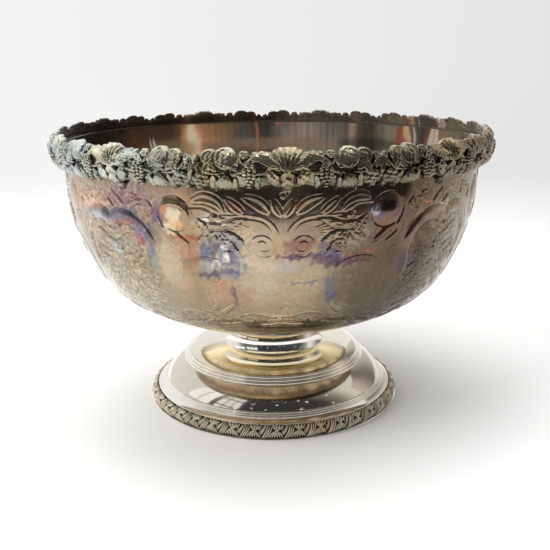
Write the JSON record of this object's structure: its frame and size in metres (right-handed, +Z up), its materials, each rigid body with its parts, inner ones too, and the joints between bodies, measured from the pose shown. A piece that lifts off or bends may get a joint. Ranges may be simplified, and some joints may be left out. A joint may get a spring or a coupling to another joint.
{
  "type": "punch bowl",
  "caption": "Round footed punch bowl in plated metal, with a chased side, a cast scalloped rim border and a reeded spreading foot with a leaf border.",
  "frame": {"origin": "centre of the foot's resting face", "axes": "+Z up along the bowl's axis; the chased panels face -Y, +Y, -X and +X"},
  "size_m": [0.36, 0.36, 0.233],
  "materials": {
    "bowl_plate": "polished",
    "rim_castings": "satin",
    "foot_plate": "polished",
    "foot_wires": "polished",
    "foot_border": "satin"
  },
  "bodies": {
    "root": {"bowl_shell": "bowl_plate", "foot_base_ring": "foot_wires", "foot_border_front": "foot_border", "foot_border_rear": "foot_border", "foot_collar": "foot_plate", "foot_lower_dome": "foot_plate", "foot_skirt": "foot_plate", "foot_upper_dome": "foot_plate", "lip_band": "rim_castings", "lower_reeded_wire": "foot_wires", "rim_casting_1": "rim_castings", "rim_casting_2": "rim_castings", "rim_casting_3": "rim_castings", "rim_casting_4": "rim_castings", "rim_casting_5": "rim_castings", "rim_casting_6": "rim_castings", "rim_casting_7": "rim_castings", "rim_casting_8": "rim_castings", "rim_casting_9": "rim_castings", "upper_reeded_wire": "foot_wires"}
  },
  "joints": []
}
